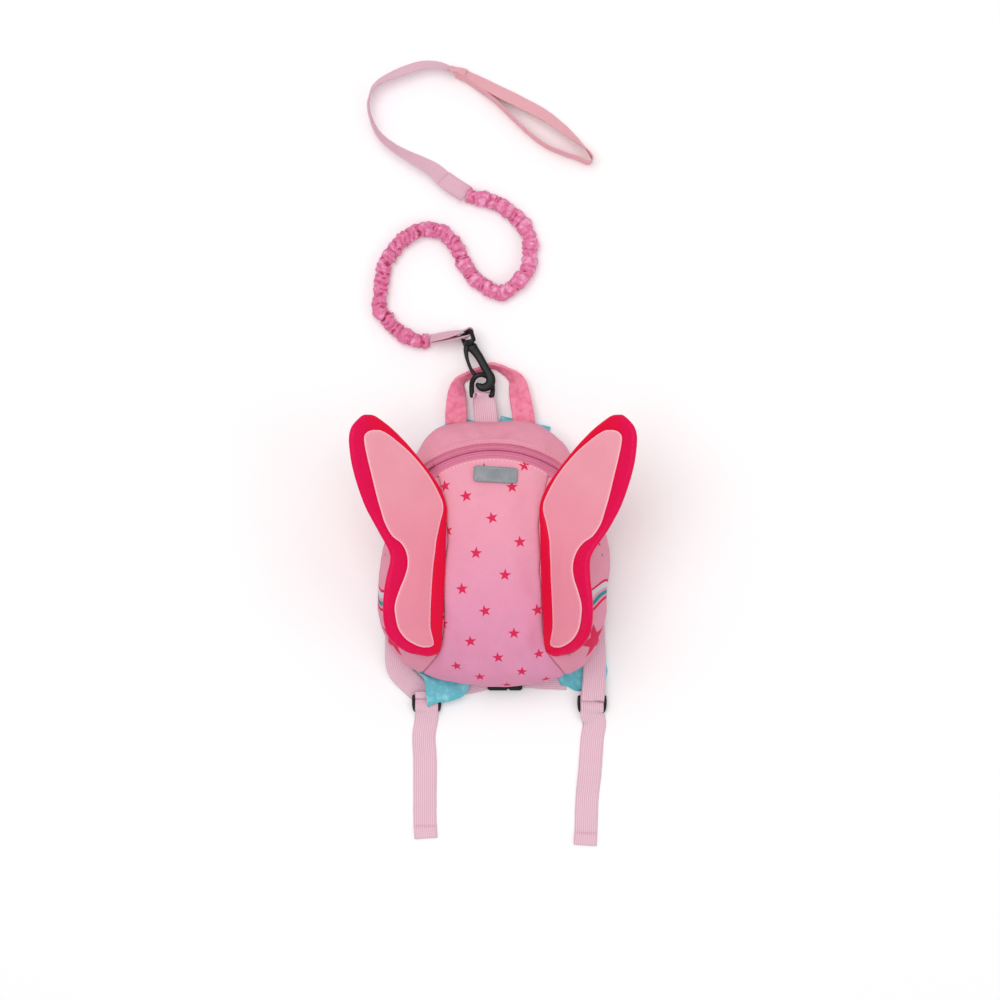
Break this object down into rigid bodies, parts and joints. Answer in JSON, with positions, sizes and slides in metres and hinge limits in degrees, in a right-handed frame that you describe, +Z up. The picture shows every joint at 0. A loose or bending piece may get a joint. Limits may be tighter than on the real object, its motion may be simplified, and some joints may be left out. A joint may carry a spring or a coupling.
{
  "type": "toddler harness backpack",
  "caption": "Small padded toddler backpack with stand-up wings, a front zip, shoulder and chest straps and a gathered elastic lead clipped to its top ring.",
  "frame": {"origin": "on the floor, under the middle of the bag and its straps, without the lead", "axes": "+Z up from the floor to the bag's front, +Y towards the bag's top, +X to the right as seen from above"},
  "size_m": [0.2326, 0.6826, 0.14],
  "materials": {
    "print_front": "matt printed polyester",
    "print_side": "matt printed polyester",
    "top_cloth": "matt polyester",
    "back_cloth": "matt polyester over foam",
    "zip_tape": "woven tape",
    "zip_coil": "nylon coil",
    "zip_metal": "plain slider",
    "label_grey": "matt rubber",
    "wing_cloth": "satin polyester over foam",
    "inset_cloth": "matt polyester",
    "handle_cloth": "folded polyester",
    "webbing": "woven webbing",
    "loop_webbing": "woven webbing",
    "satin": "gathered satin over elastic",
    "strap_lining": "coated lining over foam",
    "hardware_black": "moulded plastic"
  },
  "bodies": {
    "root": {"front_panel": "print_front", "side_panel_left": "print_side", "side_panel_right": "print_side", "top_panel": "top_cloth", "back_panel": "back_cloth", "zip_tape_lower": "zip_tape", "zip_tape_upper": "zip_tape", "zip_coil": "zip_coil", "zip_slider": "zip_metal", "label_patch": "label_grey", "wing_left": "wing_cloth", "wing_right": "wing_cloth", "wing_inset_left": "inset_cloth", "wing_inset_right": "inset_cloth", "carry_handle": "handle_cloth", "ring_tab": "webbing", "d_ring": "hardware_black", "snap_hook": "hardware_black", "swivel_eye": "hardware_black", "hook_webbing": "webbing", "leash_elastic": "satin", "leash_webbing": "webbing", "hand_loop": "loop_webbing", "shoulder_strap_left": "strap_lining", "shoulder_strap_right": "strap_lining", "ladder_lock_left": "hardware_black", "ladder_lock_right": "hardware_black", "lock_loop_left": "webbing", "lock_loop_right": "webbing", "strap_webbing_left": "webbing", "strap_webbing_right": "webbing", "strap_anchor_left": "webbing", "chest_buckle_socket": "hardware_black", "chest_buckle_plug": "hardware_black", "chest_strap_left": "webbing", "chest_strap_right": "webbing"}
  },
  "joints": []
}
